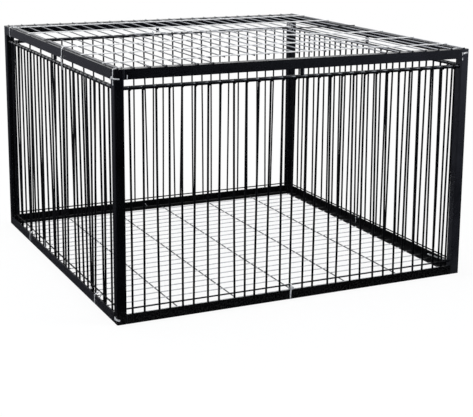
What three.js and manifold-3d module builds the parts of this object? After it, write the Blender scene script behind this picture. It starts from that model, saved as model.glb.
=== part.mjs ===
// Pigeon trap: a square cage of square tube and angle bar with a welded wire floor and roof. A loose
// panel of the same mesh lies over an opening in the roof as a door, hinged at its rear edge.
// Straight wires, called bobs, hang from a rod on each side. They swing inward only, because
// a stop wire near the floor holds them from outside. Lengths are in millimetres, +Z is up and
// the origin is the middle of the footprint on the ground.

import * as THREE from 'three';
import { mergeVertices } from 'three/addons/utils/BufferGeometryUtils.js';
import Module from 'manifold-3d';

const wasm = await Module();
wasm.setup();

// Overall size of the frame, to the outer faces and the top of the rails.
const cageWidth = 800;
const cageDepth = 800;
const frameHeight = 500;

// Clearance between pieces that touch or are welded, and how far a cut runs past its wall.
const fitGap = 0.3;
const overrun = 1;

// Square tube of the four corner posts.
const tubeSide = 20;
const tubeWall = 1.5;
const tubeCorner = 2.5;

// Rolled angle bar of the rails.
const angleLeg = 20;
const angleThickness = 2;
const angleRoot = 2.5;
const angleToe = 1;

// Rod that carries the bobs: a thin core with round spacers on it, one between every two bobs. A strut
// as thick as the spacers stops it sagging.
const rodDiameter = 8;
const coreDiameter = 2.4;
const rodInset = 8;
const rodBelowRail = 13;
const rodSeat = 4;

// Wire of the bobs.
const bobsPerSide = 28;
const bobWire = 3.2;
const bobEyeGap = 0.3;
const bobEyeDrop = 1;
const bobGrooveGap = 0.4;
const bobTipHeight = 14;

// Straight wire that stops the bobs from swinging out.
const stopWire = 3;
const stopHeight = 28;
const stopGap = 0.4;

// Welded wire panels of the roof and the floor.
const panelWire = 2.5;
const panelPitch = 32.5;
const panelCrossPitch = 130;
const panelWeldSink = 0.4;
const roofEdge = 1;
const roofFirstWire = 8.5;
const roofFirstCross = 68;
const floorEdge = 0.5;
const floorFirstWire = 5;
const floorFirstCross = 14;

// Door in the roof. Its opening ends at the front rail, and its own wires reach over the ones beside it.
// Two rings hold its last cross wire to the one behind the opening.
const doorFirstWire = 212;
const doorFront = 40;
const doorSideRest = 12;
const doorTrim = 0.5;
const wireOverhang = 4;
const ringWire = 1.6;
const ringFromFirstWire = 44.5;
const wholeWiresBeforeDoorCount = 7;
const doorCutWireCount = 11;
const doorCutCrossCount = 3;
const doorWireCount = 13;

// Facet counts, and the part of a full turn that an eye makes.
const cornerFacets = 3;
const rodSides = 12;
const holeSides = 8;
const stopSides = 8;
const bobSides = 6;
const bobEyeSteps = 9;
const bobEyeTurnShare = 0.78;
const curtainRodSides = 12;
const curtainBobSides = 6;
const panelSides = 6;
const ringSides = 6;
const ringSteps = 16;

// Places that follow from the sizes above.
const rodRadius = rodDiameter / 2;
const rodHeight = frameHeight - angleLeg - rodBelowRail - rodRadius;
const bobRadius = bobWire / 2;
const coreRadius = coreDiameter / 2;
const eyeRadius = coreRadius + bobEyeGap + bobEyeDrop + bobRadius;
const bobInset = rodInset + eyeRadius;
const stopRadius = stopWire / 2;
const stopInset = bobInset - bobRadius - stopGap - stopRadius;

const paint = new THREE.MeshStandardMaterial({ color: 0x15161a, roughness: 0.38, metalness: 0.1 });
const wirePaint = new THREE.MeshStandardMaterial({ color: 0x0e0e11, roughness: 0.42, metalness: 0.1 });
const zinc = new THREE.MeshStandardMaterial({ color: 0xc3c6ca, roughness: 0.4, metalness: 0.75 });

const cage = new THREE.Group();

// A closed three.js geometry as a solid that can be joined or cut.
function solidOf(geometry) {
  const bare = geometry.clone();
  bare.deleteAttribute('normal');
  bare.deleteAttribute('uv');
  const merged = mergeVertices(bare, fitGap / 1000);
  return new wasm.Manifold(new wasm.Mesh({
    numProp: 3,
    vertProperties: new Float32Array(merged.attributes.position.array),
    triVerts: new Uint32Array(merged.index.array),
  }));
}

function geometryOf(solid) {
  const result = solid.getMesh();
  const geometry = new THREE.BufferGeometry();
  geometry.setAttribute('position', new THREE.BufferAttribute(result.vertProperties, 3));
  geometry.setIndex(new THREE.BufferAttribute(result.triVerts, 1));
  geometry.computeVertexNormals();
  return geometry;
}

function addPiece(parent, name, geometry, material) {
  const piece = new THREE.Mesh(geometry, material);
  piece.name = name;
  parent.add(piece);
  return piece;
}

// Outline of a square with rounded corners, from one corner at (low, low) to (high, high).
function roundedSquare(low, high, radius) {
  const corners = [
    [high - radius, low + radius, -1],
    [high - radius, high - radius, 0],
    [low + radius, high - radius, 1],
    [low + radius, low + radius, 2],
  ];
  const points = [];
  for (const [x, y, quarter] of corners) {
    for (let step = 0; step <= cornerFacets; step += 1) {
      const angle = (quarter + step / cornerFacets) * Math.PI / 2;
      points.push(new THREE.Vector2(x + radius * Math.cos(angle), y + radius * Math.sin(angle)));
    }
  }
  return new THREE.Shape(points);
}

function prism(shape, length) {
  return new THREE.ExtrudeGeometry(shape, { depth: length, steps: 1, bevelEnabled: false });
}

// Turns a prism that was extruded along Z so that it runs along X, its outline in Y and Z.
function laidAlongX(geometry) {
  const turn = new THREE.Matrix4().makeBasis(
    new THREE.Vector3(0, 1, 0),
    new THREE.Vector3(0, 0, 1),
    new THREE.Vector3(1, 0, 0),
  );
  return geometry.applyMatrix4(turn);
}

// Round bar from x = start to x = end. A flat or a corner can face up.
function barAlongX(radius, sides, start, end, y, z, cornerUp = false) {
  const bar = new THREE.CylinderGeometry(radius, radius, end - start, sides, 1);
  if (!cornerUp) {
    bar.rotateY(Math.PI / sides);
  }
  bar.rotateZ(Math.PI / 2);
  bar.translate((start + end) / 2, y, z);
  return bar;
}

function barAlongY(radius, sides, start, end, x, z, cornerUp = false) {
  const bar = barAlongX(radius, sides, start, end, 0, z, cornerUp);
  bar.rotateZ(Math.PI / 2);
  bar.translate(x, 0, 0);
  return bar;
}

// Corner post: square tube, closed on top and open below, with a seat hole for each rod and
// stop wire that ends in it. It stands at the start of its side, in the side's own frame.
function makePost() {
  const outside = prism(roundedSquare(0, tubeSide, tubeCorner), frameHeight);
  const hollowHeight = frameHeight - tubeWall + overrun;
  const hollow = prism(
    roundedSquare(tubeWall, tubeSide - tubeWall, tubeCorner - tubeWall),
    hollowHeight,
  );
  hollow.translate(0, 0, -overrun);
  let post = solidOf(outside).subtract(solidOf(hollow));
  const cutStart = tubeSide - tubeWall - overrun;
  const cutEnd = tubeSide + overrun;
  const seats = [
    [rodRadius, rodInset, rodHeight],
    [stopRadius, stopInset, stopHeight],
  ];
  for (const [radius, inset, height] of seats) {
    const holeRadius = (radius + fitGap) / Math.cos(Math.PI / holeSides);
    post = post.subtract(solidOf(barAlongX(holeRadius, holeSides, cutStart, cutEnd, inset, height)));
    post = post.subtract(solidOf(barAlongY(holeRadius, holeSides, cutStart, cutEnd, inset, height)));
  }
  return geometryOf(post);
}

// Rolled angle section with a rounded root and rounded toes. The outer corner is at (0, 0) and
// the legs run along +X and +Y of the outline.
function angleSection() {
  const points = [new THREE.Vector2(0, 0)];
  const arc = (x, y, radius, from, to) => {
    for (let step = 0; step <= cornerFacets; step += 1) {
      const angle = from + (to - from) * step / cornerFacets;
      points.push(new THREE.Vector2(x + radius * Math.cos(angle), y + radius * Math.sin(angle)));
    }
  };
  const toe = angleThickness - angleToe;
  const root = angleThickness + angleRoot;
  points.push(new THREE.Vector2(angleLeg, 0));
  arc(angleLeg - angleToe, toe, angleToe, 0, Math.PI / 2);
  arc(root, root, angleRoot, 3 * Math.PI / 2, Math.PI);
  arc(toe, angleLeg - angleToe, angleToe, 0, Math.PI / 2);
  points.push(new THREE.Vector2(0, angleLeg));
  return points;
}

// Rails of one side. The floor rail has its flat leg on the ground, the roof rail on top.
function makeRail(length, onTop) {
  const points = angleSection();
  const outline = onTop
    ? points.map((p) => new THREE.Vector2(p.x, frameHeight - p.y)).reverse()
    : points;
  const rail = laidAlongX(prism(new THREE.Shape(outline), length));
  rail.translate(tubeSide + fitGap, 0, 0);
  return rail;
}

// Centre line of a bob, from the rod's middle: straight up the inner side, then round the core in an
// open eye. The eye hangs a little below the core, so that it shows under the spacers and not over them.
class BobLine extends THREE.Curve {
  constructor() {
    super();
    this.steps = bobEyeSteps + 1;
  }

  getPoint(t, target = new THREE.Vector3()) {
    const station = t * this.steps;
    if (station <= 1) {
      const tip = bobTipHeight - rodHeight;
      return target.set(0, eyeRadius, tip - (tip + bobEyeDrop) * station);
    }
    const angle = (station - 1) / bobEyeSteps * bobEyeTurnShare * 2 * Math.PI;
    return target.set(0, eyeRadius * Math.cos(angle), eyeRadius * Math.sin(angle) - bobEyeDrop);
  }

  // Stations are set by count, close together in the eye and far apart in the shank.
  getPointAt(u, target) {
    return this.getPoint(u, target);
  }

  getTangentAt(u, target) {
    return this.getTangent(u, target);
  }
}

function circle(radius, sides) {
  const points = [];
  for (let side = 0; side < sides; side += 1) {
    const angle = side * 2 * Math.PI / sides;
    points.push(new THREE.Vector2(radius * Math.cos(angle), radius * Math.sin(angle)));
  }
  return new THREE.Shape(points);
}

function makeBob() {
  const line = new BobLine();
  return new THREE.ExtrudeGeometry(circle(bobRadius, bobSides), {
    steps: line.steps,
    bevelEnabled: false,
    extrudePath: line,
  });
}

// Place of each bob along its side: even steps, with half a step to the posts.
function bobPlaces(span) {
  const step = (span - 2 * tubeSide) / bobsPerSide;
  return Array.from({ length: bobsPerSide }, (unused, index) => tubeSide + step * (index + 0.5));
}

// Rod of the separate bobs, along X from its own middle line: a groove down to the core at each bob.
function makeGroovedRod(span) {
  const start = tubeSide - rodSeat;
  const end = span - tubeSide + rodSeat;
  const half = bobRadius + bobGrooveGap;
  const profile = [new THREE.Vector2(0, start), new THREE.Vector2(rodRadius, start)];
  for (const place of bobPlaces(span)) {
    profile.push(new THREE.Vector2(rodRadius, place - half));
    profile.push(new THREE.Vector2(coreRadius, place - half));
    profile.push(new THREE.Vector2(coreRadius, place + half));
    profile.push(new THREE.Vector2(rodRadius, place + half));
  }
  profile.push(new THREE.Vector2(rodRadius, end), new THREE.Vector2(0, end));
  const rod = new THREE.LatheGeometry(profile, rodSides);
  rod.rotateZ(-Math.PI / 2);
  return geometryOf(solidOf(rod));
}

// Rod with all its bobs in one piece: a plain rod as thick as the spacers, and each shank joined to
// its inner side.
function makeCurtain(span) {
  const start = tubeSide - rodSeat;
  const end = span - tubeSide + rodSeat;
  let curtain = solidOf(barAlongX(rodRadius, curtainRodSides, start, end, 0, 0));
  for (const place of bobPlaces(span)) {
    const length = rodHeight - bobTipHeight;
    const shank = new THREE.CylinderGeometry(bobRadius, bobRadius, length, curtainBobSides, 1);
    shank.rotateX(Math.PI / 2);
    shank.translate(place, eyeRadius, -length / 2);
    curtain = curtain.add(solidOf(shank));
  }
  return geometryOf(curtain);
}

// Welded wire panel. The lower wires run along the one direction and the upper ones cross them,
// sunk a little into them at each weld.
function makePanel(lower, upper) {
  const radius = panelWire / 2;
  const upperLift = panelWire - panelWeldSink;
  const bars = [];
  for (const [from, to, place] of lower.wires) {
    bars.push(lower.bar(radius, panelSides, from, to, place, radius, true));
  }
  for (const [from, to, place] of upper.wires) {
    bars.push(upper.bar(radius, panelSides, from, to, place, radius + upperLift, true));
  }
  return geometryOf(wasm.Manifold.union(bars.map(solidOf)));
}

// Wires of one direction of a panel. Near the posts a wire stops short of them.
function wireRow(run, across, edge, first, pitch, postClear) {
  const wires = [];
  for (let place = first; place <= across - edge - panelWire; place += pitch) {
    const besidePosts = place < tubeSide + panelWire || place > across - tubeSide - panelWire;
    const end = besidePosts && postClear ? postClear : edge;
    wires.push([end, run - end, place]);
  }
  return wires;
}

const postGeometry = makePost();
const bobGeometry = makeBob();

// Each side is modelled in its own frame: X along the side, Y inward, from its starting corner.
const sides = [
  { name: 'front', post: 'front_left', span: cageWidth, corner: [-1, -1], quarter: 0 },
  { name: 'right', post: 'front_right', span: cageDepth, corner: [1, -1], quarter: 1 },
  { name: 'rear', post: 'rear_right', span: cageWidth, corner: [1, 1], quarter: 2 },
  { name: 'left', post: 'rear_left', span: cageDepth, corner: [-1, 1], quarter: 3 },
];

for (const side of sides) {
  const frame = new THREE.Group();
  frame.position.set(side.corner[0] * cageWidth / 2, side.corner[1] * cageDepth / 2, 0);
  frame.rotation.z = side.quarter * Math.PI / 2;
  cage.add(frame);

  const clear = side.span - 2 * tubeSide;
  const railLength = clear - 2 * fitGap;
  const barStart = tubeSide - rodSeat;
  const barEnd = side.span - tubeSide + rodSeat;

  addPiece(frame, `post_${side.post}`, postGeometry, paint);
  addPiece(frame, `floor_rail_${side.name}`, makeRail(railLength, false), paint);
  addPiece(frame, `roof_rail_${side.name}`, makeRail(railLength, true), paint);

  const stop = barAlongX(stopRadius, stopSides, barStart, barEnd, stopInset, stopHeight);
  addPiece(frame, `stop_wire_${side.name}`, stop, wirePaint);

  const strutStart = rodHeight + rodRadius + fitGap;
  const strutEnd = frameHeight - angleThickness - fitGap;
  const strut = new THREE.CylinderGeometry(rodRadius, rodRadius, strutEnd - strutStart, rodSides);
  strut.rotateX(Math.PI / 2);
  strut.translate(side.span / 2, rodInset, (strutStart + strutEnd) / 2);
  addPiece(frame, `strut_${side.name}`, strut, paint);

  if (side.name === 'front') {
    const rod = addPiece(frame, `bob_rod_${side.name}`, makeGroovedRod(side.span), paint);
    rod.position.set(0, rodInset, rodHeight);
    for (const [index, place] of bobPlaces(side.span).entries()) {
      const number = String(index + 1).padStart(2, '0');
      const bob = addPiece(frame, `bob_${side.name}_${number}`, bobGeometry, wirePaint);
      bob.position.set(place, rodInset, rodHeight);
    }
  } else {
    const curtain = addPiece(frame, `bob_curtain_${side.name}`, makeCurtain(side.span), wirePaint);
    curtain.position.set(0, rodInset, rodHeight);
  }
}

// Roof: close wires run front to rear on top of the rails, and a few cross over them. Some of both
// kinds are cut short round the door's opening.
const roofLong = wireRow(cageDepth, cageWidth, roofEdge, roofFirstWire, panelPitch);
const roofCross = wireRow(cageWidth, cageDepth, roofEdge, roofFirstCross, panelCrossPitch);
const pastDoorIndex = wholeWiresBeforeDoorCount + doorCutWireCount;
const leftOfDoor = roofLong[wholeWiresBeforeDoorCount - 1][2];
const rightOfDoor = roofLong[pastDoorIndex][2];
const behindDoor = roofCross[doorCutCrossCount][2];
const roof = makePanel(
  {
    bar: barAlongY,
    wires: roofLong.map(([start, end, place], index) => {
      const isCut = index >= wholeWiresBeforeDoorCount && index < pastDoorIndex;
      return [isCut ? behindDoor - wireOverhang : start, end, place];
    }),
  },
  {
    bar: barAlongX,
    wires: roofCross.flatMap(([start, end, place], index) => {
      if (index >= doorCutCrossCount) {
        return [[start, end, place]];
      }
      return [
        [start, leftOfDoor + wireOverhang, place],
        [rightOfDoor - wireOverhang, end, place],
      ];
    }),
  },
);
const roofPanel = addPiece(cage, 'roof_panel', roof, zinc);
roofPanel.position.set(-cageWidth / 2, -cageDepth / 2, frameHeight + fitGap);

// Door: its long wires are cut off just behind its last cross wire, which is the pin that it turns on.
const doorLong = Array.from(
  { length: doorWireCount },
  (unused, index) => [doorFront, behindDoor + doorTrim, doorFirstWire + index * panelPitch],
);
const doorLastWire = doorLong[doorWireCount - 1][2];
const doorCross = [];
for (let place = doorFront + wireOverhang; place < behindDoor - panelPitch; place += panelCrossPitch) {
  doorCross.push([doorFirstWire - doorSideRest, doorLastWire + doorSideRest, place]);
}
doorCross.push([doorFirstWire - doorSideRest, doorLastWire + doorSideRest, behindDoor]);
const door = makePanel({ bar: barAlongY, wires: doorLong }, { bar: barAlongX, wires: doorCross });
const panelThickness = 2 * panelWire - panelWeldSink;
const doorLift = panelThickness + fitGap;
const roofDoor = addPiece(cage, 'roof_door', door, zinc);
roofDoor.position.set(-cageWidth / 2, -cageDepth / 2, frameHeight + fitGap + doorLift);

// Hinge rings: each goes round the door's last cross wire and the roof's cross wire under it.
const ringInside = doorLift / 2 + panelWire / 2 + fitGap;
const ringHeight = frameHeight + fitGap + panelThickness - panelWire / 2 + doorLift / 2;
const ringPlaces = [
  ['left', doorFirstWire + ringFromFirstWire],
  ['right', doorLastWire - ringFromFirstWire],
];
for (const [name, place] of ringPlaces) {
  const ring = new THREE.TorusGeometry(ringInside + ringWire / 2, ringWire / 2, ringSides, ringSteps);
  ring.rotateY(Math.PI / 2);
  const piece = addPiece(cage, `door_ring_${name}`, geometryOf(solidOf(ring)), zinc);
  piece.position.set(place - cageWidth / 2, behindDoor - cageDepth / 2, ringHeight);
}

// Floor: a few wires run front to rear on the flat legs of the rails, and close ones cross them.
const floorClear = angleThickness + angleRoot + floorEdge;
const floorPostClear = tubeSide + floorEdge;
const floor = makePanel(
  {
    bar: barAlongY,
    wires: wireRow(cageDepth, cageWidth, floorClear, floorFirstCross, panelCrossPitch, floorPostClear),
  },
  {
    bar: barAlongX,
    wires: wireRow(cageWidth, cageDepth, floorClear, floorFirstWire, panelPitch, floorPostClear),
  },
);
const floorPanel = addPiece(cage, 'floor_panel', floor, zinc);
floorPanel.position.set(-cageWidth / 2, -cageDepth / 2, angleThickness + fitGap);

export default cage;
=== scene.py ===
"""Looks of the pigeon trap: a black painted cage with hanging bob wires and welded wire panels.

Metres, in the row frame: +Z up, the front side towards -Y. Each side has a frame of its own, with X along the side
from its left corner and Y inward. The CAD posts, rails and struts stay, and round pieces replace the faceted wires.
"""

import math
import random

import bpy
import numpy as np
from mathutils import Matrix, Vector


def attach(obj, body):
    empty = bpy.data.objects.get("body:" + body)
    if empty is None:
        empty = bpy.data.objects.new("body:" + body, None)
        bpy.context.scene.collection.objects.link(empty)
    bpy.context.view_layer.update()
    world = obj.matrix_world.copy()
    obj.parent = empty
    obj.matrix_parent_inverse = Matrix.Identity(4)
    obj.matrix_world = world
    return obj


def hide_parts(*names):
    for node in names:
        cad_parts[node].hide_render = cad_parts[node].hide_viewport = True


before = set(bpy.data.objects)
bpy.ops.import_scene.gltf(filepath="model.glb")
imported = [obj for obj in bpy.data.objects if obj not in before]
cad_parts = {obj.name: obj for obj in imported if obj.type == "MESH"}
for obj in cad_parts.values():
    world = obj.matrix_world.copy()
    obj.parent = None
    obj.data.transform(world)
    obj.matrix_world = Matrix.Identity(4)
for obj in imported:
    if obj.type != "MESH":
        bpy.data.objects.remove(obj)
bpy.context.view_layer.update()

MM = 0.001

# Where the random draws of the sides, the panels and the weld beads start.
SIDE_SEED = 5
PANEL_SEED = 41
BEAD_SEED = 70

# Faces that meet at a larger angle are shaded with an edge between them.
SHARP_ANGLE = math.radians(48)

# The rounded end of a cut wire: where its rings are, how much they shrink, and where the full size begins.
DOME_SHARES = (0.25, 0.6, 1.0)
DOME_SHRINK = 0.75
DOME_START = 1.02

# The waves in a stretched wire, as shares of its wander and wave numbers: two sideways and one upward.
SLOW_WAVE = (0.7, 3.1)
QUICK_WAVE = (0.3, 11)
RISE_WAVE = (0.4, 5)

# The cage, as in the CAD.
WIDTH = 800 * MM
HEIGHT = 500 * MM
TUBE = 20 * MM
LEG = 20 * MM
THICK = 2 * MM
FIT = 0.3 * MM
SIDES = ["front", "right", "rear", "left"]
CORNERS = [(-1, -1), (1, -1), (1, 1), (-1, 1)]
FROM_CORNER = Matrix.Translation((-WIDTH / 2, -WIDTH / 2, 0))

# The bob rods with their spacers, and the stop wires. Their ends reach into the posts.
ROD_R = 4 * MM
ROD_IN = 8 * MM
ROD_Z = 463 * MM
ROD_START = TUBE - 4 * MM
ROD_END = WIDTH - TUBE + 4 * MM
CORE_R = 1.2 * MM
CORE_SIDES = 16
SPACER_EDGE = 0.35 * MM
SPACER_SOFT = 0.3 * SPACER_EDGE
SPACER_SIDES = 28
GROOVE = 0.4 * MM
STOP_R = 1.5 * MM
STOP_IN = 8.6 * MM
STOP_Z = 28 * MM
STOP_SIDES = 14
STOP_STEPS = 40
STOP_WANDER = 0.2 * MM

# The rear rod sits low at one end. Between two places, counted from the cage's left, its spacers are thin.
REAR_HIGH = 1 * MM
REAR_LOW = -3 * MM
REAR_CURVE = 0.7
THIN_FROM = 392 * MM
THIN_TO = 588 * MM
THIN_R = 2.2 * MM

# The bobs. They are a little thicker and longer than in the CAD, and those of the far sides have smaller eyes.
BOBS = 28
BOB_STEP = (WIDTH - 2 * TUBE) / BOBS
BOB_PLACES = [TUBE + BOB_STEP * (i + 0.5) for i in range(BOBS)]
BOB_R = 2.15 * MM
FAR_BOB_R = {"right": 2.1 * MM, "rear": 2 * MM, "left": 2.1 * MM}
BOB_SIDES = 12
BOB_DOME = 0.8 * MM
TIP_Z = 8.5 * MM
EYE_R = 3.1 * MM
EYE_DROP = 1.0 * MM
SMALL_EYE_R = 2.5 * MM
SMALL_EYE_DROP = 0.2 * MM
EYE_TURN = 0.78
SHANK_STEPS = 15
EYE_STEPS = 28

# How far each front bob has slid along the rod, and how far its tip hangs to the right of its top, in mm.
SLIDE = [0.3, 0.4, 0.7, 0.7, -1.7, -0.8, 0.3, -1.8, 1.1, 0.5, 1.4, -0.2, -0.4, -0.2,
         -0.1, -0.4, 1.0, -0.3, 0.2, -1.6, 0.3, 0.1, 1.4, 1.7, -1.5, 0.3, -0.1, -0.8]
LEAN = [2.0, -0.2, 4.0, -0.6, 1.0, -3.4, 0.2, -1.6, 4.6, 0.5, -5.6, -4.6, -0.4, -4.4,
        -2.0, -5.2, 3.8, -2.6, 4.8, 2.6, 6.4, 6.2, 3.6, -2.4, 1.1, -2.4, -1.2, -5.8]
SLIDE_SHARE = 0.5

# The most that a bob slides, leans, turns its eye's end aside, bows and sways, in mm. From one bob to the next the
# lean falls by no more than LEAN_STEP, so that they don't cross.
SLIDE_MOST = 0.3
LEAN_MOST = {"right": 10, "rear": 12, "left": 20}
LEAN_STEP = 20
TURN_MOST = 0.3
BOW_MOST = 0.8
SWAY_MOST = 0.5

# The welded panels: wires along Y, and wires along X on top that are sunk a little into them. In the roof the
# close wires are the lower ones, in the floor the upper ones.
WIRE_R = 1.25 * MM
WIRE_SIDES = 10
WIRE_STEPS = 28
WIRE_DOME = 0.5 * MM
WANDER = 0.5 * MM
SINK = 0.4 * MM
LIFT = 2 * WIRE_R - SINK
PITCH = 32.5 * MM
CROSS_PITCH = 130 * MM
OVERHANG = 4 * MM
ROOF_Z = HEIGHT + FIT
ROOF_EDGE = 1 * MM
ROOF_FIRST = 8.5 * MM
ROOF_FIRST_CROSS = 68 * MM
ROOF_FAR_END = WIDTH - 9 * MM
ROOF_GREY_TO = 300 * MM
ROOF_LUMP_IN = 1.6 * MM
ROOF_LUMP_R = (1.7, 2.3)
FLOOR_Z = THICK + FIT
FLOOR_EDGE = 5 * MM
FLOOR_POST_EDGE = 20.5 * MM
FLOOR_FIRST_LOWER = 14 * MM
FLOOR_FIRST_UPPER = 5 * MM
FLOOR_WANDER = 1.1 * MM

# The roof door, the numbers of the roof wires round its opening, and the rings that hold its last cross wire.
BEHIND_DOOR = 3
LEFT_OF_DOOR = 6
RIGHT_OF_DOOR = 18
DOOR_FIRST = 212 * MM
DOOR_WIRES = [DOOR_FIRST + PITCH * i for i in range(13)]
DOOR_FRONT = 40 * MM
DOOR_REST = 12 * MM
DOOR_BEHIND = 0.5 * MM
DOOR_LIFT = 4 * WIRE_R - SINK + FIT
DOOR_Z = ROOF_Z + DOOR_LIFT
DOOR_GREY_TO = 330 * MM
DOOR_LUMP_IN = 0.8 * MM
DOOR_LUMP_R = (1.3, 1.7)
RING_WIRE_R = 0.8 * MM
RING_R = DOOR_LIFT / 2 + WIRE_R + FIT + RING_WIRE_R
RING_Z = ROOF_Z + 3 * WIRE_R - SINK + DOOR_LIFT / 2
RING_IN = 44.5 * MM
RING_STEPS = 48
RING_SIDES = 12

# Lumps where two wires are welded, and at the end of a wire: levels from the middle, and shares of the radius.
SPOT_RINGS = ((-1.0, 0.35), (-0.6, 0.85), (0.0, 1.0), (0.6, 0.85), (1.0, 0.35))
SPOT_R = 1.55 * MM
SPOT_HALF = 0.75 * MM
SPOT_SIDES = 8
END_RINGS = ((-0.9, 0.6), (-0.4, 1.0), (0.1, 1.0), (0.6, 0.7), (0.85, 0.3))
END_LONG = 1.25
END_SIDES = 10

# The weld beads between posts and rails.
BEAD_STEPS = 22
BEAD_SIDES = 10
BEAD_INSET = 0.6 * MM
SEAM = TUBE + 0.15 * MM

# The cable ties, in mm.
STRAP_THICK = 1.0
STRAP_STEPS = 6
HEAD_LONG = 4.2
HEAD_WIDE = 3.8
HEAD_THICK = 3.0

# The paint. Dust lies on the low parts, and the floor wires are painted near the rails.
DUST = (0.06, 0.057, 0.05)
DUST_TOP = 45 * MM
DUST_MOST = 0.24
COAT = (0.003, 0.003, 0.004)
PAINTED_FROM = 376 * MM
PAINTED_SHIFT = 3.5 * MM
PAINTED_RAGGED = 1.2 * MM
PAINTED_SOFT = 1.5 * MM


def side_matrix(side):
    """From a side's own frame to the row frame."""
    index = SIDES.index(side)
    x, y = CORNERS[index]
    place = Matrix.Translation((x * WIDTH / 2, y * WIDTH / 2, 0))
    return place @ Matrix.Rotation(index * math.pi / 2, 4, "Z")


def unit(vector):
    return vector / np.linalg.norm(vector)


def square_to(along, vector):
    """The part of a vector that is square to a unit vector."""
    return vector - along * np.dot(vector, along)


def circle(radius, count):
    """Points round a circle about 0, as pairs."""
    angles = [2 * math.pi * k / count for k in range(count)]
    return [(radius * math.cos(angle), radius * math.sin(angle)) for angle in angles]


def octagon(u, v):
    """A square of side 1 with cut corners; u and v are where the cuts begin."""
    return [(-0.5, -v), (-u, -0.5), (u, -0.5), (0.5, -v), (0.5, v), (u, 0.5), (-u, 0.5), (-0.5, v)]


class Builder:
    """Collects swept tubes and lofted forms, and makes one mesh object of them."""

    def __init__(self):
        self.verts = []
        self.faces = []
        self.looks = []

    def rings(self, rings, closed=False, look=0):
        """Skins a list of rings, each a list of points, into one surface. look is its material's number."""
        first = len(self.verts)
        sides = len(rings[0])
        for ring in rings:
            self.verts.extend([tuple(float(v) for v in p) for p in ring])
        count = len(rings)
        for i in range(count if closed else count - 1):
            a = first + i * sides
            b = first + ((i + 1) % count) * sides
            for k in range(sides):
                n = (k + 1) % sides
                self.faces.append((a + k, a + n, b + n, b + k))
        if not closed:
            self.faces.append(tuple(first + k for k in reversed(range(sides))))
            self.faces.append(tuple(first + (count - 1) * sides + k for k in range(sides)))
        self.looks.extend([look] * (len(self.faces) - len(self.looks)))

    def tube(self, path, radius, sides, dome=0.0, closed=False, look=0, flat=1.0, up=(0, 0, 1)):
        """A wire along a path. radius is one number or one per point, and dome rounds the ends over that length."""
        path = np.array([tuple(p) for p in path], float)
        radii = np.ones(len(path)) * radius
        if dome:
            path, radii = domed(path, radii, dome)
        tangents = np.roll(path, -1, axis=0) - np.roll(path, 1, axis=0) if closed else np.gradient(path, axis=0)
        tangents /= np.linalg.norm(tangents, axis=1)[:, None]
        side = start_normal(tangents[0], up)
        section = circle(1, sides)
        rings = []
        for place, tangent, size in zip(path, tangents, radii):
            side = unit(square_to(tangent, side))
            other = np.cross(tangent, side)
            rings.append([place + size * (a * side + flat * b * other) for a, b in section])
        self.rings(rings, closed, look)

    def move(self, matrix):
        self.verts = [tuple(matrix @ Vector(v)) for v in self.verts]

    def make(self, name, materials, body, slot=None, replaced=()):
        mesh = bpy.data.meshes.new(name)
        mesh.from_pydata(self.verts, [], self.faces)
        for material in materials:
            mesh.materials.append(material)
        mesh.polygons.foreach_set("material_index", self.looks)
        mesh.polygons.foreach_set("use_smooth", [True] * len(self.faces))
        mesh.update()
        obj = bpy.data.objects.new(name, mesh)
        bpy.context.scene.collection.objects.link(obj)
        mesh.set_sharp_from_angle(angle=SHARP_ANGLE)
        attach(obj, body)
        if replaced:
            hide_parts(*replaced)


def start_normal(tangent, up):
    reference = np.array(up, float)
    if abs(np.dot(reference, tangent)) > 0.9:
        reference = np.array((1, 0, 0), float)
    return square_to(tangent, reference)


def domed(path, radii, length):
    """Adds shrinking rings at both ends, so that a cut wire has a rounded edge."""
    head = unit(path[0] - path[1])
    tail = unit(path[-1] - path[-2])
    front, back, shrunk = [], [], []
    for share in DOME_SHARES:
        front.insert(0, path[0] + head * length * (share - 1))
        back.append(path[-1] + tail * length * (share - 1))
        shrunk.append(math.sqrt(1 - DOME_SHRINK * share * share))
    first = path[0] - head * length * DOME_START
    last = path[-1] - tail * length * DOME_START
    front_radii = [radii[0] * share for share in reversed(shrunk)]
    back_radii = [radii[-1] * share for share in shrunk]
    return np.vstack([front, [first], path[1:-1], [last], back]), np.concatenate([front_radii, radii, back_radii])


def straight(start, end, count, wander, chance):
    """A line with a slow small wander, as a stretched wire has."""
    a, b = np.array(start, float), np.array(end, float)
    side = np.cross(unit(b - a), (0, 0, 1))
    phase = [chance.uniform(0, 2 * math.pi) for _ in range(4)]
    points = []
    for i in range(count + 1):
        u = i / count
        ease = wander * math.sin(math.pi * u)
        slow, quick, rise = [ease * share * math.sin(number * u + start_at)
                             for (share, number), start_at in zip((SLOW_WAVE, QUICK_WAVE, RISE_WAVE), phase)]
        points.append(a + (b - a) * u + side * (slow + quick) + np.array((0, 0, rise)))
    return points


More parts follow.
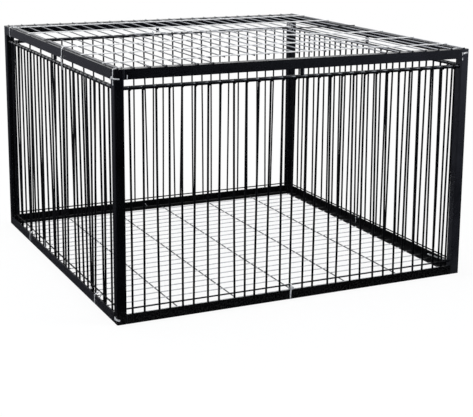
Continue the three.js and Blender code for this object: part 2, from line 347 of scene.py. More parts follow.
class Nodes:
    """Short hand for a node tree."""

    def __init__(self, tree):
        self.tree = tree
        self.coords = tree.nodes.new("ShaderNodeTexCoord")

    def new(self, kind, inputs=None, **settings):
        node = self.tree.nodes.new(kind)
        for key, value in settings.items():
            setattr(node, key, value)
        for key, value in (inputs or {}).items():
            self.feed(node.inputs[key], value)
        return node

    def feed(self, socket, value):
        """Links a socket to another node's output, or gives it a plain value."""
        if isinstance(value, bpy.types.NodeSocket):
            self.tree.links.new(value, socket)
        else:
            socket.default_value = value

    def mapped(self, scale=(1, 1, 1)):
        node = self.new("ShaderNodeMapping", {"Vector": self.coords.outputs["Object"], "Scale": scale})
        return node.outputs["Vector"]

    def noise(self, scale, detail, rough, stretch=(1, 1, 1)):
        values = {"Vector": self.mapped(stretch), "Scale": scale, "Detail": detail, "Roughness": rough}
        return self.new("ShaderNodeTexNoise", values).outputs["Fac"]

    def ramp(self, source, low, high, first=0.0, last=1.0, **settings):
        """Carries a value from low..high to first..last, held at the ends."""
        values = {"Value": source, "From Min": low, "From Max": high, "To Min": first, "To Max": last}
        return self.new("ShaderNodeMapRange", values, **settings).outputs["Result"]

    def blend(self, factor, first, second):
        """Mixes two colours."""
        node = self.new("ShaderNodeMix", {"Factor": factor}, data_type="RGBA")
        for key, value in (("A", first), ("B", second)):
            socket = next(s for s in node.inputs if s.name == key and s.type == "RGBA")
            self.feed(socket, (*value, 1) if isinstance(value, tuple) else value)
        return next(s for s in node.outputs if s.type == "RGBA")

    def mix(self, factor, first, second):
        """Mixes two shaders."""
        return self.new("ShaderNodeMixShader", {0: factor, 1: first, 2: second}).outputs[0]

    def math(self, operation, *values):
        return self.new("ShaderNodeMath", dict(enumerate(values)), operation=operation).outputs["Value"]

    def part(self, vector, axis):
        return self.new("ShaderNodeSeparateXYZ", {"Vector": vector}).outputs[axis]

    def along(self, axis):
        return self.part(self.coords.outputs["Object"], axis)

    def bump(self, source, strength, distance, before=None):
        node = self.new("ShaderNodeBump", {"Height": source, "Strength": strength, "Distance": distance})
        if before is not None:
            self.feed(node.inputs["Normal"], before)
        return node.outputs["Normal"]

    def rays(self):
        """Whether a ray comes from the camera, straight or through nylon, and whether it is a mirrored one."""
        path = self.new("ShaderNodeLightPath").outputs
        return self.math("MAXIMUM", path["Is Camera Ray"], path["Is Transmission Ray"]), path["Is Glossy Ray"]

    def set(self, **values):
        """Gives the material's shader its values."""
        for key, value in values.items():
            self.feed(self.tree.nodes["Principled BSDF"].inputs[key.replace("_", " ")], value)


def new_material(name):
    material = bpy.data.materials.new(name)
    material.use_nodes = True
    return material, Nodes(material.node_tree)


def black_paint(name, base, rough, dust=DUST, ior=1.45, gloss=0.5):
    """Satin black paint: orange peel, cloudy gloss, fine scuffs, and dust low on the cage."""
    material, n = new_material(name)
    cloud = n.noise(9, detail=4, rough=0.55)
    grain = n.noise(260, detail=3, rough=0.6)
    peel = n.noise(900, detail=2, rough=0.5)
    scuff = n.noise(55, detail=5, rough=0.7, stretch=(1, 1, 0.25))
    low = n.ramp(n.along("Z"), 0.0, DUST_TOP, 1.0, 0.0)
    amount = n.math("MULTIPLY", low, n.ramp(grain, 0.42, 0.72))
    amount = n.math("MULTIPLY", amount, DUST_MOST)
    lighter = tuple(c * 1.9 + 0.0005 for c in base)
    colour = n.blend(n.ramp(cloud, 0.35, 0.7), base, lighter)
    colour = n.blend(n.ramp(scuff, 0.66, 0.74, 0.0, 0.5), colour, tuple(c * 3 + 0.005 for c in base))
    colour = n.blend(amount, colour, dust)
    shine = n.ramp(cloud, 0.3, 0.72, *rough)
    shine = n.math("ADD", shine, n.ramp(grain, 0.3, 0.8, 0.0, 0.08))
    shine = n.math("ADD", shine, n.math("MULTIPLY", amount, 0.5))
    normal = n.bump(peel, 0.12, 0.4 * MM)
    normal = n.bump(grain, 0.1, 0.6 * MM, normal)
    n.set(Base_Color=colour, Roughness=shine, Normal=normal, IOR=ior, Specular_IOR_Level=gloss)
    n.set(Specular_Tint=(0.86, 0.92, 1.0, 1))
    return material


def wire_paint(name, wear, gloss):
    """Black paint on the bobs and stop wires, rubbed to steel where they meet."""
    material, n = new_material(name)
    cloud = n.noise(14, detail=4, rough=0.55)
    grain = n.noise(420, detail=3, rough=0.6)
    away = n.math("ABSOLUTE", n.math("SUBTRACT", n.along("Z"), STOP_Z))
    rubbed = n.math("MULTIPLY", n.ramp(away, 1 * MM, 3.5 * MM, 1.0, 0.0), n.ramp(grain, 0.45, 0.6))
    rubbed = n.math("MULTIPLY", rubbed, wear)
    colour = n.blend(n.ramp(cloud, 0.35, 0.7), (0.0012, 0.0012, 0.0018), COAT)
    colour = n.blend(rubbed, colour, (0.2, 0.2, 0.21))
    shine = n.ramp(cloud, 0.3, 0.7, 0.3, 0.46)
    normal = n.bump(grain, 0.12, 0.4 * MM)
    n.set(Base_Color=colour, Roughness=shine, Normal=normal, Metallic=rubbed, IOR=1.4, Specular_IOR_Level=gloss)
    n.set(Specular_Tint=(0.88, 0.93, 1.0, 1))
    return material


def zinc(name, light, dark, rough, metal=0.72, painted=False):
    """Galvanised wire: a dull silver with cloudy patches and flakes, if need be black over the painted rails."""
    material, n = new_material(name)
    cloud = n.noise(22, detail=4, rough=0.6)
    grain = n.noise(330, detail=3, rough=0.6)
    flakes = n.new("ShaderNodeTexVoronoi", {"Vector": n.mapped(), "Scale": 240})
    patch = n.ramp(flakes.outputs["Distance"], 0.1, 0.7)
    colour = n.blend(n.ramp(cloud, 0.3, 0.7), dark, light)
    colour = n.blend(n.math("MULTIPLY", patch, 0.25), colour, tuple(c * 0.72 for c in dark))
    shine = n.ramp(cloud, 0.3, 0.75, *rough)
    normal = n.bump(grain, 0.15, 0.4 * MM)
    normal = n.bump(patch, 0.08, 0.3 * MM, normal)
    if painted:
        across = n.math("ABSOLUTE", n.math("ADD", n.along("X"), PAINTED_SHIFT))
        reach = n.math("MAXIMUM", across, n.math("ABSOLUTE", n.along("Y")))
        reach = n.math("ADD", reach, n.ramp(grain, 0.2, 0.8, -PAINTED_RAGGED, PAINTED_RAGGED))
        coated = n.ramp(reach, PAINTED_FROM, PAINTED_FROM + PAINTED_SOFT)
        colour = n.blend(coated, colour, COAT)
        metal = n.math("MULTIPLY", n.math("SUBTRACT", 1.0, coated), metal)
    n.set(Base_Color=colour, Roughness=shine, Normal=normal, Metallic=metal)
    return material


def clear_nylon(name):
    """Nylon of the cable ties, a little milky, with moulding grain."""
    material, n = new_material(name)
    cloud = n.noise(120, detail=3, rough=0.5)
    grain = n.noise(1400, detail=2, rough=0.5)
    colour = n.blend(n.ramp(cloud, 0.3, 0.7), (0.56, 0.57, 0.6), (0.74, 0.75, 0.76))
    shine = n.ramp(cloud, 0.3, 0.7, 0.24, 0.4)
    n.set(Base_Color=colour, Roughness=shine, Normal=n.bump(grain, 0.08, 0.2 * MM), IOR=1.5)
    n.set(Transmission_Weight=0.35, Subsurface_Weight=0.15, Subsurface_Radius=(2 * MM, 2 * MM, 2 * MM))
    return material


FRAME_PAINT = black_paint("frame_paint_black", (0.0004, 0.0004, 0.0008), (0.16, 0.28))
ROD_PAINT = black_paint("rod_paint_black", (0.0015, 0.0015, 0.0025), (0.14, 0.22), ior=1.65)
# A lighter, bluer copy of the frame paint: painted sheen, for the light that the faces of the front right post and
# the left floor rail mirror.
PAINTED_SHEEN_PAINT = black_paint("black_paint_painted_sheen", (0.007, 0.0072, 0.0098), (0.2, 0.32))
FAR_PAINT = black_paint("rail_paint_dull", (0.0007, 0.0007, 0.0012), (0.3, 0.42), (0.03, 0.028, 0.025), 1.35, 0.22)
WELD_PAINT = black_paint("weld_paint_black", (0.006, 0.0063, 0.008), (0.32, 0.46))
WIRE_PAINT = wire_paint("wire_paint_black", 0.1, 0.3)
STOP_PAINT = wire_paint("stop_paint_black", 0.02, 0.08)
# The wires along X, the cross wires of the roof and its door and the close upper wires of the floor, get lighter
# and less metallic copies of the zinc than the wires along Y: painted light, for the light that wires in that
# direction catch.
ZINC_LONG = zinc("zinc_wire_long", (0.5, 0.51, 0.54), (0.38, 0.39, 0.42), (0.34, 0.5))
ZINC_GREY = zinc("zinc_wire_grey", (0.34, 0.345, 0.37), (0.22, 0.225, 0.245), (0.34, 0.5))
ZINC_FLOOR_CROSS_PAINTED_LIT = zinc("zinc_wire_floor_cross_painted_lit", (0.76, 0.765, 0.775), (0.62, 0.625, 0.645), (0.3, 0.46), 0.12, True)
ZINC_CROSS_PAINTED_LIT = zinc("zinc_wire_cross_painted_lit", (0.93, 0.93, 0.93), (0.86, 0.86, 0.87), (0.35, 0.5), 0.15)
# The floor's lower wires along Y get a much darker copy of the zinc than the roof's wires along Y: painted shade.
ZINC_FLOOR_LOWER_PAINTED_SHADE = zinc("zinc_wire_floor_lower_painted_shade", (0.2, 0.205, 0.22), (0.12, 0.125, 0.14), (0.36, 0.5), painted=True)
NYLON = clear_nylon("nylon_clear")

# The materials of the roof and its door, and of the floor, and the numbers of the wires' materials in them.
ROOF_LOOKS = [ZINC_LONG, ZINC_CROSS_PAINTED_LIT, ZINC_GREY, WELD_PAINT]
PLAIN, CROSS_PAINTED_LIT, GREY, BLACK = range(4)
FLOOR_LOOKS = [ZINC_FLOOR_CROSS_PAINTED_LIT, ZINC_FLOOR_LOWER_PAINTED_SHADE]
FLOOR_CROSS_PAINTED_LIT, FLOOR_LOWER_PAINTED_SHADE = range(2)

# The front right post and the left floor rail take the paint with painted sheen.
OTHER_PAINT = {"post_front_right": PAINTED_SHEEN_PAINT, "floor_rail_left": PAINTED_SHEEN_PAINT,
               "floor_rail_right": FAR_PAINT, "floor_rail_rear": FAR_PAINT}
for name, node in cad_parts.items():
    if name.startswith(("post_", "floor_rail_", "roof_rail_", "strut_")):
        node.data.materials.clear()
        node.data.materials.append(OTHER_PAINT.get(name, FRAME_PAINT))


def bob_path(place, turn, lean, bow, sway, eye_r, eye_drop):
    """Centre line of one bob in its side's frame: up the shank and round the core in an open eye."""
    points = []
    length = ROD_Z - eye_drop - TIP_Z
    for i in range(SHANK_STEPS):
        u = i / SHANK_STEPS
        x = place + lean * (1 - u) + bow * math.sin(math.pi * u)
        points.append((x, ROD_IN + eye_r + sway * math.sin(math.pi * u) ** 2, TIP_Z + length * u))
    for i in range(EYE_STEPS + 1):
        angle = i / EYE_STEPS * EYE_TURN * 2 * math.pi
        x = place + turn * (i / EYE_STEPS) ** 3
        points.append((x, ROD_IN + eye_r * math.cos(angle), ROD_Z - eye_drop + eye_r * math.sin(angle)))
    return points


def spacer(builder, start, end, radius):
    """A round spacer with softened ends on a rod's core."""
    edge, soft = SPACER_EDGE, SPACER_SOFT
    profile = [(start, CORE_R), (start, radius - edge), (start + soft, radius - soft), (start + edge, radius),
               (end - edge, radius), (end - soft, radius - soft), (end, radius - edge), (end, CORE_R)]
    builder.rings([[(x, ROD_IN + a, ROD_Z + b) for a, b in circle(r, SPACER_SIDES)] for x, r in profile])


def spaced_rod(side, places):
    """A rod's core and the spacers on it, with a groove left for each bob."""
    rod = Builder()
    rod.tube([(ROD_START, ROD_IN, ROD_Z), (ROD_END, ROD_IN, ROD_Z)], CORE_R, CORE_SIDES)
    half = FAR_BOB_R.get(side, BOB_R) + GROOVE
    edges = [ROD_START]
    for place in places:
        edges += [place - half, place + half]
    edges.append(ROD_END)
    for start, end in zip(edges[::2], edges[1::2]):
        thin = side == "rear" and WIDTH - THIN_TO < (start + end) / 2 < WIDTH - THIN_FROM
        spacer(rod, start, end, THIN_R if thin else ROD_R)
    return rod


def set_on(side, builder):
    """Carries a piece from its side's frame to the row frame. At the rear it sits low at one end."""
    if side == "rear":
        tilted = []
        for x, y, z in builder.verts:
            share = max(0.0, min(1.0, x / WIDTH))
            tilted.append((x, y, z + (REAR_HIGH - (REAR_HIGH - REAR_LOW) * share ** REAR_CURVE)))
        builder.verts = tilted
    builder.move(side_matrix(side))


def hang(chance, most):
    """How far aside each bob's lower end hangs, in mm."""
    leans = []
    for _ in range(BOBS):
        lean = max(-most, min(most, chance.gauss(0, most / 2)))
        leans.append(max(lean, leans[-1] - LEAN_STEP) if leans else lean)
    return leans


for side in SIDES:
    chance = random.Random(SIDES.index(side) + SIDE_SEED)
    if side == "front":
        slides = [slide * SLIDE_SHARE for slide in SLIDE]
        leans = LEAN
        eye = (EYE_R, EYE_DROP)
        body = "cage"
    else:
        slides = [chance.uniform(-SLIDE_MOST, SLIDE_MOST) for _ in range(BOBS)]
        leans = hang(chance, LEAN_MOST[side])
        eye = (SMALL_EYE_R, SMALL_EYE_DROP)
        body = f"curtain_{side}"
    places = [place + slide * MM for place, slide in zip(BOB_PLACES, slides)]
    stop = Builder()
    stop.tube(straight((ROD_START, STOP_IN, STOP_Z), (ROD_END, STOP_IN, STOP_Z), STOP_STEPS, STOP_WANDER, chance),
              STOP_R, STOP_SIDES)
    stop.move(side_matrix(side))
    stop.make(f"stop_wire_{side}_round", [STOP_PAINT], "cage", "bob_paint", [f"stop_wire_{side}"])
    rod = spaced_rod(side, places)
    set_on(side, rod)
    rod.make(f"bob_rod_{side}_round", [ROD_PAINT], body, "frame_paint",
             ["bob_rod_front"] if side == "front" else ())
    curtain = Builder()
    for number, (place, lean) in enumerate(zip(places, leans), 1):
        turn = chance.uniform(-TURN_MOST, TURN_MOST) * MM
        bow = chance.uniform(-BOW_MOST, BOW_MOST) * MM
        sway = chance.uniform(0, SWAY_MOST) * MM
        path = bob_path(place, turn, lean * MM, bow, sway, *eye)
        if side == "front":
            bob = Builder()
            bob.tube(path, BOB_R, BOB_SIDES, BOB_DOME)
            set_on(side, bob)
            bob.make(f"bob_{number:02d}_wire", [WIRE_PAINT], f"bob_body_front_{number:02d}", "bob_paint",
                     [f"bob_front_{number:02d}"])
        else:
            curtain.tube(path, FAR_BOB_R[side], BOB_SIDES, BOB_DOME)
    if side != "front":
        set_on(side, curtain)
        curtain.make(f"bobs_{side}", [WIRE_PAINT], body, "bob_paint", [f"bob_curtain_{side}"])


def lump(builder, place, levels, radius, half, count, look, long=1.0):
    """A rounded lump of weld or paint. levels are heights in units of half, each with a share of the radius."""
    x, y, z = place
    rings = [[(x + a, y + long * b, z + level * half) for a, b in circle(radius * share, count)]
             for level, share in levels]
    builder.rings(rings, look=look)


def panel(name, lower, upper, base_z, chance, materials, node, body="cage", ends=(), wander=WANDER):
    """Welded mesh. The lower wires run along Y and the upper ones along X."""
    made = Builder()
    low = base_z + WIRE_R
    high = low + LIFT
    for start, end, place, look in lower:
        line = straight((place, start, low), (place, end, low), WIRE_STEPS, wander, chance)
        made.tube(line, WIRE_R, WIRE_SIDES, WIRE_DOME, look=look)
    for start, end, place, look in upper:
        line = straight((start, place, high), (end, place, high), WIRE_STEPS, wander, chance)
        made.tube(line, WIRE_R, WIRE_SIDES, WIRE_DOME, look=look)
    for first_y, last_y, x, look in lower:
        for first_x, last_x, y, _ in upper:
            if first_x < x < last_x and first_y < y < last_y:
                lump(made, (x, y, low + LIFT / 2), SPOT_RINGS, SPOT_R, SPOT_HALF, SPOT_SIDES, look)
    for place, radius in ends:
        lump(made, place, END_RINGS, radius, radius, END_SIDES, BLACK, END_LONG)
    made.move(FROM_CORNER)
    made.make(name, materials, body, "galvanised_wire", [node])


def row(edge, first, pitch, look, post_edge=None):
    """Wires as tuples of start, end, place and material. Those beside a post end before it."""
    wires = []
    place = first
    while place <= WIDTH - edge - 2 * WIRE_R + 1e-6:
        beside = place < TUBE + 2 * WIRE_R or place > WIDTH - TUBE - 2 * WIRE_R
        end = post_edge if beside and post_edge else edge
        wires.append((end, WIDTH - end, place, look))
        place += pitch
    return wires


chance = random.Random(PANEL_SEED)
long_wires = row(ROOF_EDGE, ROOF_FIRST, PITCH, PLAIN)
# The roof's cross wires take the lighter zinc: painted light.
cross_wires = row(ROOF_EDGE, ROOF_FIRST_CROSS, CROSS_PITCH, CROSS_PAINTED_LIT)
behind_door = cross_wires[BEHIND_DOOR][2]
left_of_door = long_wires[LEFT_OF_DOOR][2]
right_of_door = long_wires[RIGHT_OF_DOOR][2]
for index in range(LEFT_OF_DOOR + 1, RIGHT_OF_DOOR):
    start, end, place, look = long_wires[index]
    long_wires[index] = (behind_door - OVERHANG, end, place, look)
lumps = [((place, start + ROOF_LUMP_IN, ROOF_Z + WIRE_R), chance.uniform(*ROOF_LUMP_R) * MM)
         for start, end, place, look in long_wires if start < TUBE]
long_wires = [(start, min(end, ROOF_FAR_END), place, GREY if place < ROOF_GREY_TO else PLAIN)
              for start, end, place, look in long_wires]
cut = []
for start, end, place, look in cross_wires[:BEHIND_DOOR]:
    cut += [(start, left_of_door + OVERHANG, place, look), (right_of_door - OVERHANG, end, place, look)]
cut += cross_wires[BEHIND_DOOR + 1:]
cut += [(ROOF_EDGE, THIN_FROM, behind_door, BLACK), (THIN_FROM, THIN_TO, behind_door, CROSS_PAINTED_LIT),
        (THIN_TO, ROOF_FAR_END, behind_door, BLACK)]
cut = [(start, min(end, ROOF_FAR_END), place, look) for start, end, place, look in cut]
panel("roof_mesh", long_wires, cut, ROOF_Z, chance, ROOF_LOOKS, "roof_panel", ends=lumps)

door_long = [(DOOR_FRONT, behind_door + DOOR_BEHIND, place, GREY if place < DOOR_GREY_TO else PLAIN)
             for place in DOOR_WIRES]
# The door's cross wires take the lighter zinc too: painted light.
door_cross = [(DOOR_FIRST - DOOR_REST, DOOR_WIRES[-1] + DOOR_REST, place, CROSS_PAINTED_LIT)
              for place in (DOOR_FRONT + OVERHANG, DOOR_FRONT + OVERHANG + CROSS_PITCH,
                            DOOR_FRONT + OVERHANG + 2 * CROSS_PITCH, behind_door)]
lumps = [((place, DOOR_FRONT + DOOR_LUMP_IN, DOOR_Z + WIRE_R), chance.uniform(*DOOR_LUMP_R) * MM)
         for place in DOOR_WIRES]
panel("door_mesh", door_long, door_cross, DOOR_Z, chance, ROOF_LOOKS, "roof_door", "roof_door_body", lumps)
for name, place in (("left", DOOR_WIRES[0] + RING_IN), ("right", DOOR_WIRES[-1] - RING_IN)):
    ring = Builder()
    ring.tube([(place, behind_door + a, RING_Z + b) for a, b in circle(RING_R, RING_STEPS)], RING_WIRE_R,
              RING_SIDES, closed=True, up=(1, 0, 0))
    ring.move(FROM_CORNER)
    ring.make(f"door_ring_{name}_round", [ZINC_LONG], "cage", "galvanised_wire", [f"door_ring_{name}"])

# The floor's lower wires take the darker zinc, painted shade, and its upper ones the lighter zinc, painted light.
lower = row(FLOOR_EDGE, FLOOR_FIRST_LOWER, CROSS_PITCH, FLOOR_LOWER_PAINTED_SHADE, FLOOR_POST_EDGE)
upper = row(FLOOR_EDGE, FLOOR_FIRST_UPPER, PITCH, FLOOR_CROSS_PAINTED_LIT, FLOOR_POST_EDGE)
panel("floor_mesh", lower, upper, FLOOR_Z, chance, FLOOR_LOOKS, "floor_panel", wander=FLOOR_WANDER)


def bead(builder, start, end, up, wide, high, chance):
    """A rippled weld along a line, half of it above the surface."""
    a, b = np.array(start, float), np.array(end, float)
    points = [a + (b - a) * i / BEAD_STEPS for i in range(BEAD_STEPS + 1)]
    radii = [wide * (0.9 + 0.12 * math.sin(2.4 * i) + chance.uniform(-0.05, 0.05)) for i in range(BEAD_STEPS + 1)]
    radii[0] = radii[-1] = wide * 0.5
    builder.tube(points, radii, BEAD_SIDES, flat=high / wide, up=up)


def corner_beads(index):
    """Beads over the joints between one corner post and its four rails."""
    chance = random.Random(index + BEAD_SEED)
    made = Builder()
    for z, level, low, high in ((0, THICK, THICK, LEG), (HEIGHT - LEG, HEIGHT, HEIGHT - LEG, HEIGHT - THICK)):
        # on the rail's outer face, on its flat leg, and inside it
        for (y, first), (last_y, last), wide, thick in (
                ((0, z + BEAD_INSET), (0, z + LEG - BEAD_INSET), 1.5, 0.55),
                ((BEAD_INSET, level), (LEG - BEAD_INSET, level), 1.3, 0.28),
                ((THICK, low), (THICK, high), 1.3, 0.5)):
            # the rail that starts at this corner runs along X, the one that ends here runs along Y
            bead(made, (SEAM, y, first), (SEAM, last_y, last), (1, 0, 0), wide * MM, thick * MM, chance)
            bead(made, (y, SEAM, first), (last_y, SEAM, last), (0, 1, 0), wide * MM, thick * MM, chance)
    made.move(side_matrix(SIDES[index]))
    made.make(f"weld_beads_{index + 1}", [WELD_PAINT], "cage", "frame_paint")


for index in range(4):
    corner_beads(index)


def smooth_path(points, steps):
    """A soft curve through the given points."""
    pts = [np.array(p, float) for p in points]
    pts = [2 * pts[0] - pts[1]] + pts + [2 * pts[-1] - pts[-2]]
    out = []
    for i in range(1, len(pts) - 2):
        a, b, c, d = pts[i - 1:i + 3]
        for k in range(steps):
            t = k / steps
            out.append(0.5 * (2 * b + (c - a) * t + (2 * a - 5 * b + 4 * c - d) * t * t
                              + (3 * b - a - 3 * c + d) * t ** 3))
    out.append(pts[-2])
    return out


def strap(builder, points, normals, wide):
    """A flat band along a soft curve; its wide side faces the normals. Points in mm from the cage's corner."""
    path = smooth_path(points, STRAP_STEPS)
    outward = smooth_path(normals, STRAP_STEPS)
    tangents = np.gradient(np.array(path), axis=0)
    rings = []
    for place, tangent, normal in zip(path, tangents, outward):
        tangent = unit(tangent)
        normal = unit(square_to(tangent, normal))
        across = np.cross(tangent, normal)
        rings.append([(place + across * u * wide + normal * v * STRAP_THICK) * MM for u, v in octagon(0.36, 0.25)])
    builder.rings(rings)


def tie_head(builder, place, along, normal):
    """The small block that a cable tie's band runs through."""
    place = np.array(place, float)
    along = unit(np.array(along, float))
    normal = unit(square_to(along, np.array(normal, float)))
    across = np.cross(along, normal)
    rings = []
    for step, share in ((-0.5, 0.8), (-0.4, 1.0), (0.4, 1.0), (0.5, 0.8)):
        rings.append([(place + along * step * HEAD_LONG + across * u * HEAD_WIDE * share
                       + normal * v * HEAD_THICK * share) * MM for u, v in octagon(0.38, 0.36)])
    builder.rings(rings)


def tie(name, bands, heads):
    """One cable tie or loose tail. A band has points, the normals there and a width, in mm."""
    made = Builder()
    for points, normals, wide in bands:
        strap(made, points, normals, wide)
    for place, along, normal in heads:
        tie_head(made, place, along, normal)
    made.move(FROM_CORNER)
    made.make(f"tie_{name}", [NYLON], "cage")


OUT_LEFT, OUT_FRONT, UP = (-1, 0, 0), (0, -1, 0), (0, 0, 1)
IN_X, IN_Y, DOWN = (1, 0, 0), (0, 1, 0), (0, 0, -1)

tie("near_top", [
    ([(-1.0, 4.5, 487), (-1.1, 3, 495), (-0.6, 2.4, 500.6), (4, 5, 501.2), (13, 11.5, 501.4), (20, 17, 502.6),
      (22.2, 20.5, 500), (22, 21.5, 488), (20, 22.2, 480), (10, 22.4, 479.1), (0.8, 21.6, 478.9),
      (-1.0, 17, 480), (-1.1, 8, 483)],
     [OUT_LEFT, OUT_LEFT, (-0.7, 0, 0.7), UP, UP, UP, (0.7, 0.7, 0.5), (0.7, 0.7, 0), (0.5, 0.5, -0.7), DOWN,
      (-0.6, 0, -0.7), OUT_LEFT, OUT_LEFT], 2.3),
    ([(-2.1, 11, 484.3), (-2.2, 4, 484.2), (-1.6, -0.8, 483.6), (1.5, -2.0, 483), (10, -1.8, 482)],
     [OUT_LEFT, OUT_LEFT, (-0.7, -0.7, 0), OUT_FRONT, OUT_FRONT], 2.6),
    ([(-1.4, 3, 480), (-1.5, 2.6, 475), (-1.3, 2.2, 470.5)], [OUT_LEFT] * 3, 2.0),
    ([(26.3, -0.8, 489), (26, -1.0, 484), (25.6, -0.8, 479.5)], [OUT_FRONT] * 3, 1.6),
], [((-2.3, 5, 485), (0, 0, 1), OUT_LEFT)])

tie("left_top", [
    ([(-1.0, 324, 481), (-1.1, 322.5, 492), (-0.6, 321.6, 500.4), (3.5, 327, 502.8), (8.5, 334, 504.1),
      (14, 342, 503), (20.4, 351.5, 500.8), (21.6, 352.5, 496), (14, 344, 483), (3, 329, 478.9),
      (-0.8, 324.4, 479.6)],
     [OUT_LEFT, OUT_LEFT, (-0.7, 0, 0.7), (-0.2, 0, 1), UP, (0.2, 0, 1), (0.7, 0.3, 0.7), (1, 0.5, 0),
      (0.5, 0.3, -0.7), DOWN, (-0.7, 0, -0.7)], 2.5),
    ([(-1.8, 324.4, 482), (-1.6, 325, 474), (0.6, 327, 464), (2.2, 331, 455)], [OUT_LEFT] * 4, 2.3),
], [((-1.9, 324, 483), (0, 0, 1), OUT_LEFT)])

tie("far_left_top", [
    ([(-0.9, 745, 481), (-1.1, 744.5, 490), (-1.0, 744, 499), (0.5, 743.5, 501), (8.5, 743, 504.1), (19, 743, 501),
      (21, 743.5, 497), (12, 744, 484), (2, 745, 479), (-0.8, 745, 480)],
     [OUT_LEFT, OUT_LEFT, OUT_LEFT, (-0.6, 0, 0.8), UP, (0.5, 0, 0.8), IN_X, (0.5, 0, -0.7), DOWN,
      (-0.7, 0, -0.7)], 2.2),
], [])

tie("left_bottom_far", [
    ([(-0.9, 617, 1.2), (-1.1, 616.6, 10), (-1.1, 615, 19), (-0.4, 610, 24), (3, 606, 27.6), (6, 606, 30.4),
      (9.4, 607, 29), (10, 608, 24), (5, 612, 6), (3, 613, 3.4)],
     [OUT_LEFT, OUT_LEFT, OUT_LEFT, (-0.9, 0, 0.3), (-0.6, 0, 0.8), UP, IN_X, IN_X, IN_X, IN_X], 2.3),
], [((-0.6, 604, 26.5), (0.2, 1, 0.6), (-1, 0, 0.4))])

tie("left_bottom_tail", [
    ([(2.6, 491, 18), (-0.4, 490.5, 23), (-0.9, 490, 30), (-0.4, 489, 40)], [OUT_LEFT] * 4, 2.1),
], [])

tie("left_bottom_near", [
    ([(-0.9, 135, 1.2), (-1.1, 134.8, 10), (-1.1, 133.5, 19), (-0.6, 128, 24.5), (3, 123, 28), (6, 122, 30.4),
      (9.6, 123, 28), (9, 127, 18), (4, 131, 6)],
     [OUT_LEFT, OUT_LEFT, OUT_LEFT, (-0.9, 0, 0.3), (-0.6, 0, 0.8), UP, IN_X, IN_X, IN_X], 2.3),
    ([(-0.6, 152, 27), (-0.8, 156, 30.5)], [OUT_LEFT] * 2, 2.0),
    ([(-0.8, 60, 23.5), (-1.0, 56, 24.6)], [OUT_LEFT] * 2, 2.0),
], [((-0.7, 118, 30), (0, 1, -0.4), OUT_LEFT)])

tie("front_bottom", [
    ([(378, -1.0, 1.2), (378.3, -1.1, 10), (378.8, -1.1, 19), (380.5, -0.4, 24), (382, 3, 27.8), (382, 6.4, 30.4),
      (381, 10, 28), (380, 9, 18), (379, 4, 6)],
     [OUT_FRONT, OUT_FRONT, OUT_FRONT, (0, -0.9, 0.4), (0, -0.6, 0.8), UP, IN_Y, IN_Y, IN_Y], 3.0),
], [((383, -1.8, 24.5), (0.3, 0, 1), OUT_FRONT)])

tie("rear_bottom", [
    ([(360.5, 797.0, 17.4), (363, 796.8, 12), (369, 796.9, 3.4)], [OUT_FRONT] * 3, 2.2),
], [])

tie("right_bottom", [
    ([(796.6, 450, 25), (796.2, 436, 15.5), (796.4, 416, 24)], [OUT_LEFT] * 3, 3.2),
    ([(796.0, 436, 15.5), (796.2, 434, 4.5)], [OUT_LEFT] * 2, 3.2),
], [((795.6, 436, 15), (0, 0, 1), OUT_LEFT)])

tie("right_bottom_near", [
    ([(796.6, 116, 11), (796.2, 84, 14), (795.9, 56, 16)], [OUT_LEFT] * 3, 3.2),
    ([(795.7, 56, 16), (796.0, 62, 27)], [OUT_LEFT] * 2, 3.2),
    ([(795.7, 55, 16.5), (795.4, 22, 27)], [OUT_LEFT] * 2, 3.2),
    ([(795.7, 56, 15.5), (795.9, 60, 4)], [OUT_LEFT] * 2, 3.2),
], [((795.2, 56, 16), (0, 1, -0.2), OUT_LEFT)])

tie("right_top", [
    ([(784, -1.2, 491), (790, -1.5, 492), (795, -1.4, 492.6)], [OUT_FRONT] * 3, 3.0),
    ([(782.3, -1.0, 493), (782.5, -1.1, 487.5)], [OUT_FRONT] * 2, 1.8),
    ([(783, -1.0, 482), (783.2, -1.1, 476.5)], [OUT_FRONT] * 2, 1.8),
    ([(758, 3, 501.3), (770, 9, 501.8), (783, 12, 501.5), (794, 9, 501.0)], [UP] * 4, 3.2),
], [((786.5, -2.2, 491.6), (1, 0, 0.2), OUT_FRONT)])

tie("rear_post_top", [
    ([(774, 778.4, 476), (779, 777.6, 478), (786, 777.6, 474), (788, 778.4, 466), (783, 778.4, 460),
      (776, 778.6, 463), (773.6, 778.4, 470), (775, 777.2, 476)], [OUT_FRONT] * 8, 2.4),
    ([(786, 777.4, 470), (790, 777.8, 460), (791, 777.6, 452)], [OUT_FRONT] * 3, 2.0),
], [((787, 776.8, 472), (0.3, 0, 1), OUT_FRONT)])

tie("near_bottom", [
    ([(-1.2, 12, 13.4), (-1.4, 4, 12), (-0.9, -0.9, 11.2), (5, -1.3, 9.6)],
     [OUT_LEFT, OUT_LEFT, (-0.7, -0.7, 0), OUT_FRONT], 3.6),
], [((-2.2, 5, 12), (0, 1, 0.1), OUT_LEFT)])

# The stage. Towards the camera the floor fades to white away from the cage.
FLOOR_REACH = 40.0
FLOOR_DROP = 0.5 * MM
FADE_FROM, FADE_TO = 0.7, 1.7
FADE_LEVEL = 0.88
# How bright the floor looks in the gloss of the paint, by its place along X.
FLOOR_SHEEN = [(-1.6, 0.25), (-0.7, 0.05), (0.0, 0.0), (1.0, 0.0),
               (1.7, 0.0), (2.0, 0.2), (2.36, 0.95), (2.6, 1.05)]
SHEEN_TINT = (0.84, 0.85, 1.0)
# How bright the surroundings are, and between which heights and depths their dim part turns bright in the gloss.
WORLD_COLOUR = (0.93, 0.96, 1.0, 1)
WORLD_LEVEL = 0.62
WALLS = {"Y": (-0.3, 0.15), "Z": (0.42, 0.78)}
WALL_DIM = 0.012
WHITE = (1, 1, 1, 1)

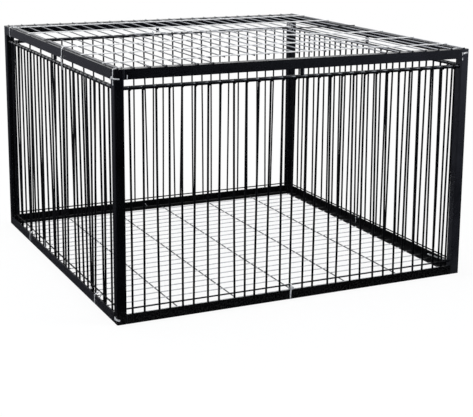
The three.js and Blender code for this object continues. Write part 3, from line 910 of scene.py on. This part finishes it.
stage, n = new_material("stage_pale")
n.set(Base_Color=(0.95, 0.95, 0.95, 1), Roughness=0.9, Specular_IOR_Level=0.1)
seen, glossy = n.rays()
position = n.new("ShaderNodeNewGeometry").outputs["Position"]
away = n.new("ShaderNodeVectorMath", {0: position}, operation="LENGTH").outputs["Value"]
shown = n.math("MULTIPLY", seen, n.ramp(away, FADE_FROM, FADE_TO, FADE_LEVEL, 1.0))
white = n.new("ShaderNodeEmission", {"Color": WHITE})
plain = n.mix(shown, n.tree.nodes["Principled BSDF"].outputs[0], white.outputs[0])
first, last = FLOOR_SHEEN[0][0], FLOOR_SHEEN[-1][0]
levels = n.new("ShaderNodeValToRGB", {"Fac": n.ramp(n.part(position, "X"), first, last)})
for i, (x, level) in enumerate(FLOOR_SHEEN):
    place = (x - first) / (last - first)
    mark = levels.color_ramp.elements[i] if i < 2 else levels.color_ramp.elements.new(place)
    mark.position = place
    mark.color = (*(tint * level for tint in SHEEN_TINT), 1)
sheen = n.new("ShaderNodeEmission", {"Color": levels.outputs["Color"]})
n.feed(n.tree.nodes["Material Output"].inputs["Surface"], n.mix(glossy, plain, sheen.outputs[0]))

floor_mesh = bpy.data.meshes.new("stage_floor")
floor_mesh.from_pydata([(x * FLOOR_REACH, y * FLOOR_REACH, 0) for x, y in CORNERS], [], [(0, 1, 2, 3)])
floor_mesh.materials.append(stage)
floor = bpy.data.objects.new("stage_floor", floor_mesh)
floor.location = (0, 0, -FLOOR_DROP)
bpy.context.scene.collection.objects.link(floor)

# The paint mirrors a bright wall behind the cage and above it, and a dim one low in front of it.
world = bpy.data.worlds.new("studio")
bpy.context.scene.world = world
world.use_nodes = True
n = Nodes(world.node_tree)
background = n.tree.nodes["Background"]
n.feed(background.inputs["Color"], WORLD_COLOUR)
n.feed(background.inputs["Strength"], WORLD_LEVEL)
seen, glossy = n.rays()
plain = n.mix(seen, background.outputs[0], n.new("ShaderNodeBackground", {"Color": WHITE}).outputs[0])
walls = [n.ramp(n.part(n.coords.outputs["Generated"], axis), *ends, WALL_DIM, 1.0, interpolation_type="SMOOTHSTEP")
         for axis, ends in WALLS.items()]
mirrored = n.new("ShaderNodeBackground", {"Color": WHITE, "Strength": n.math("MAXIMUM", *walls)})
n.feed(n.tree.nodes["World Output"].inputs["Surface"], n.mix(glossy, plain, mirrored.outputs[0]))


def lamp(name, place, aim, size, power, colour=(1, 1, 1)):
    data = bpy.data.lights.new(name, "AREA")
    data.shape = "SQUARE"
    data.size = size
    data.energy = power
    data.color = colour
    obj = bpy.data.objects.new(name, data)
    obj.location = place
    obj.rotation_mode = "QUATERNION"
    obj.rotation_quaternion = (Vector(aim) - Vector(place)).to_track_quat("-Z", "Y")
    bpy.context.scene.collection.objects.link(obj)


# Each lamp with its place, the point that it looks at, its size and its power.
lamp("soft_top", (-0.6, 0.3, 2.6), (0, 0, 0.2), 2.4, 34)
lamp("soft_left", (-2.6, -0.6, 1.5), (0, 0, 0.25), 1.6, 16, (0.95, 0.97, 1.0))
lamp("rod_glint", (2.35, -2.0, 2.45), (0.2, -0.39, 0.46), 1.2, 34)

# The camera that was fitted to the corners of the frame in the photograph.
CAMERA_PLACE = (-1.12043, -2.44833, 0.82089)
CAMERA_DEGREES = (77.7041, -0.4217, -25.3134)
CAMERA_LENS = 89.737
CAMERA_SHIFT = -0.12368

camera_data = bpy.data.cameras.new("camera")
camera_data.sensor_width = 36
camera_data.lens = CAMERA_LENS
camera_data.shift_y = CAMERA_SHIFT
camera_data.clip_start = 0.05
camera_data.clip_end = 200
camera = bpy.data.objects.new("camera", camera_data)
camera.location = CAMERA_PLACE
camera.rotation_euler = [math.radians(angle) for angle in CAMERA_DEGREES]
bpy.context.scene.collection.objects.link(camera)
bpy.context.scene.camera = camera
bpy.context.scene.view_settings.view_transform = "Standard"
